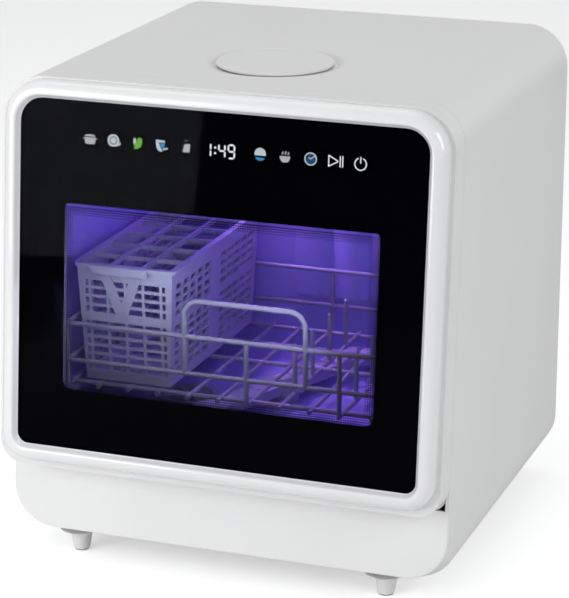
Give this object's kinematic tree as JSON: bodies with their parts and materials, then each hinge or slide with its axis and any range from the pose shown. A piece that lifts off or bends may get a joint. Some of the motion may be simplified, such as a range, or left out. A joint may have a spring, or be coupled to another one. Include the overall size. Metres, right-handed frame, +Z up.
{
  "type": "countertop dishwasher",
  "caption": "Boxy white countertop dishwasher with a drop-down black glass door, a sliding wire rack with a lift-out cutlery basket, a spray arm and a round fill lid.",
  "frame": {"origin": "under the middle of the whole machine, on the surface that it stands on", "axes": "+Z up; the door faces -Y; +X is to the right of someone who faces the door"},
  "size_m": [0.42, 0.4418, 0.4614],
  "materials": {
    "cabinet_plastic": "satin white moulding",
    "bezel_gloss": "gloss white moulding",
    "base_plastic": "grey moulding",
    "tub_plastic": "satin pale grey moulding",
    "frame_plastic": "satin white moulding",
    "seal_rubber": "soft grey rubber",
    "pad_rubber": "dark rubber",
    "duct_plastic": "grey moulding",
    "tank_plastic": "clouded moulding",
    "hose_rubber": "dark rubber",
    "pump_plastic": "dark moulding",
    "motor_metal": "dark painted metal",
    "impeller_plastic": "pale moulding",
    "valve_plastic": "white moulding",
    "heater_metal": "dull steel",
    "board_green": "green laminate",
    "display_dark": "dark display",
    "lamp_violet": "violet lamp",
    "rack_wire": "grey coated wire",
    "basket_plastic": "grey moulding",
    "filter_plastic": "grey moulding",
    "arm_metal": "grey moulding",
    "hinge_steel": "plated steel",
    "screw_steel": "plated steel",
    "door_glass": "polished glass",
    "mask_black": "black print",
    "latch_grey": "grey moulding"
  },
  "bodies": {
    "cabinet": {"outer_casing": "cabinet_plastic", "rear_cover": "cabinet_plastic", "base_tray": "base_plastic", "plinth_panel": "cabinet_plastic", "front_frame": "frame_plastic", "tub": "tub_plastic", "flute_panel": "tub_plastic", "door_seal": "seal_rubber", "feet": "cabinet_plastic", "foot_pads": "pad_rubber", "fill_funnel": "duct_plastic", "fill_duct": "duct_plastic", "water_tank": "tank_plastic", "tank_hose": "hose_rubber", "sump": "pump_plastic", "spray_hub": "tub_plastic", "suction_hose": "hose_rubber", "wash_pump": "pump_plastic", "wash_motor": "motor_metal", "drain_pump": "pump_plastic", "drain_hose": "hose_rubber", "inlet_valve": "valve_plastic", "heater": "heater_metal", "air_duct": "duct_plastic", "fan_housing": "pump_plastic", "float_guide": "tub_plastic", "power_board": "board_green", "power_gland": "pump_plastic", "lamp_strip": "lamp_violet", "rack_rails": "tub_plastic", "latch_housing": "pump_plastic", "hinge_brackets": "hinge_steel", "cover_screws": "screw_steel"},
    "door": {"door_band": "cabinet_plastic", "door_bezel": "bezel_gloss", "door_glass": "door_glass", "print_mask": "mask_black", "door_liner": "frame_plastic", "inner_pane": "door_glass", "window_shroud": "pump_plastic", "touch_board": "board_green", "clock_display": "display_dark", "detergent_cup": "frame_plastic", "latch_tongue": "latch_grey", "hinge_arms": "hinge_steel", "hinge_pins": "hinge_steel"},
    "lid": {"fill_lid": "cabinet_plastic", "lid_seal": "seal_rubber"},
    "dispenser_lid": {"detergent_lid": "latch_grey"},
    "rack": {"wire_rack": "rack_wire"},
    "basket": {"cutlery_basket": "basket_plastic"},
    "arm": {"spray_arm": "arm_metal"},
    "filter": {"filter_cup": "filter_plastic"},
    "float": {"float_switch": "impeller_plastic"},
    "wash_rotor": {"wash_impeller": "impeller_plastic"},
    "drain_rotor": {"drain_impeller": "impeller_plastic"},
    "fan": {"fan_rotor": "impeller_plastic"},
    "lever": {"latch_lever": "hinge_steel"}
  },
  "joints": [
    {"name": "door_hinge", "type": "hinge", "parent": "cabinet", "child": "door", "pos_m": [0, -0.18161, 0.10164], "axis": [1, 0, 0], "range_deg": [0, 95.4]},
    {"name": "rack_slide", "type": "slide", "parent": "cabinet", "child": "rack", "axis": [0, -1, 0], "range_m": [0, 0.15]},
    {"name": "basket_lift", "type": "slide", "parent": "rack", "child": "basket", "axis": [0, 0, 1], "range_m": [0, 0.1]},
    {"name": "lid_lift", "type": "slide", "parent": "cabinet", "child": "lid", "axis": [0, 0, 1], "range_m": [0, 0.08]},
    {"name": "dispenser_slide", "type": "slide", "parent": "door", "child": "dispenser_lid", "axis": [-1, 0, 0], "range_m": [0, 0.06]},
    {"name": "arm_spin", "type": "hinge", "parent": "cabinet", "child": "arm", "pos_m": [0, -0.02914, 0.14], "axis": [0, 0, 1], "continuous": true},
    {"name": "filter_turn", "type": "hinge", "parent": "cabinet", "child": "filter", "pos_m": [-0.088, -0.05114, 0.1295], "axis": [0, 0, 1], "range_deg": [0, 60]},
    {"name": "float_rise", "type": "slide", "parent": "cabinet", "child": "float", "axis": [0, 0, 1], "range_m": [0, 0.006]},
    {"name": "wash_rotor_spin", "type": "hinge", "parent": "cabinet", "child": "wash_rotor", "pos_m": [0.022, -0.02914, 0.068], "axis": [0, 1, 0], "continuous": true},
    {"name": "drain_rotor_spin", "type": "hinge", "parent": "cabinet", "child": "drain_rotor", "pos_m": [-0.15, 0.00686, 0.056], "axis": [0, 1, 0], "continuous": true},
    {"name": "fan_spin", "type": "hinge", "parent": "cabinet", "child": "fan", "pos_m": [0.132, 0.13886, 0.322], "axis": [0, 1, 0], "continuous": true},
    {"name": "lever_swing", "type": "hinge", "parent": "cabinet", "child": "lever", "pos_m": [0.0075, -0.13126, 0.43771], "axis": [0, 0.0941, 0.9956], "range_deg": [0, 8], "stiffness_Nm_per_rad": 0.02}
  ],
  "couplings": [
    {"joint": "rack_slide", "follows": "door_hinge", "m_per_rad": 0.09}
  ]
}
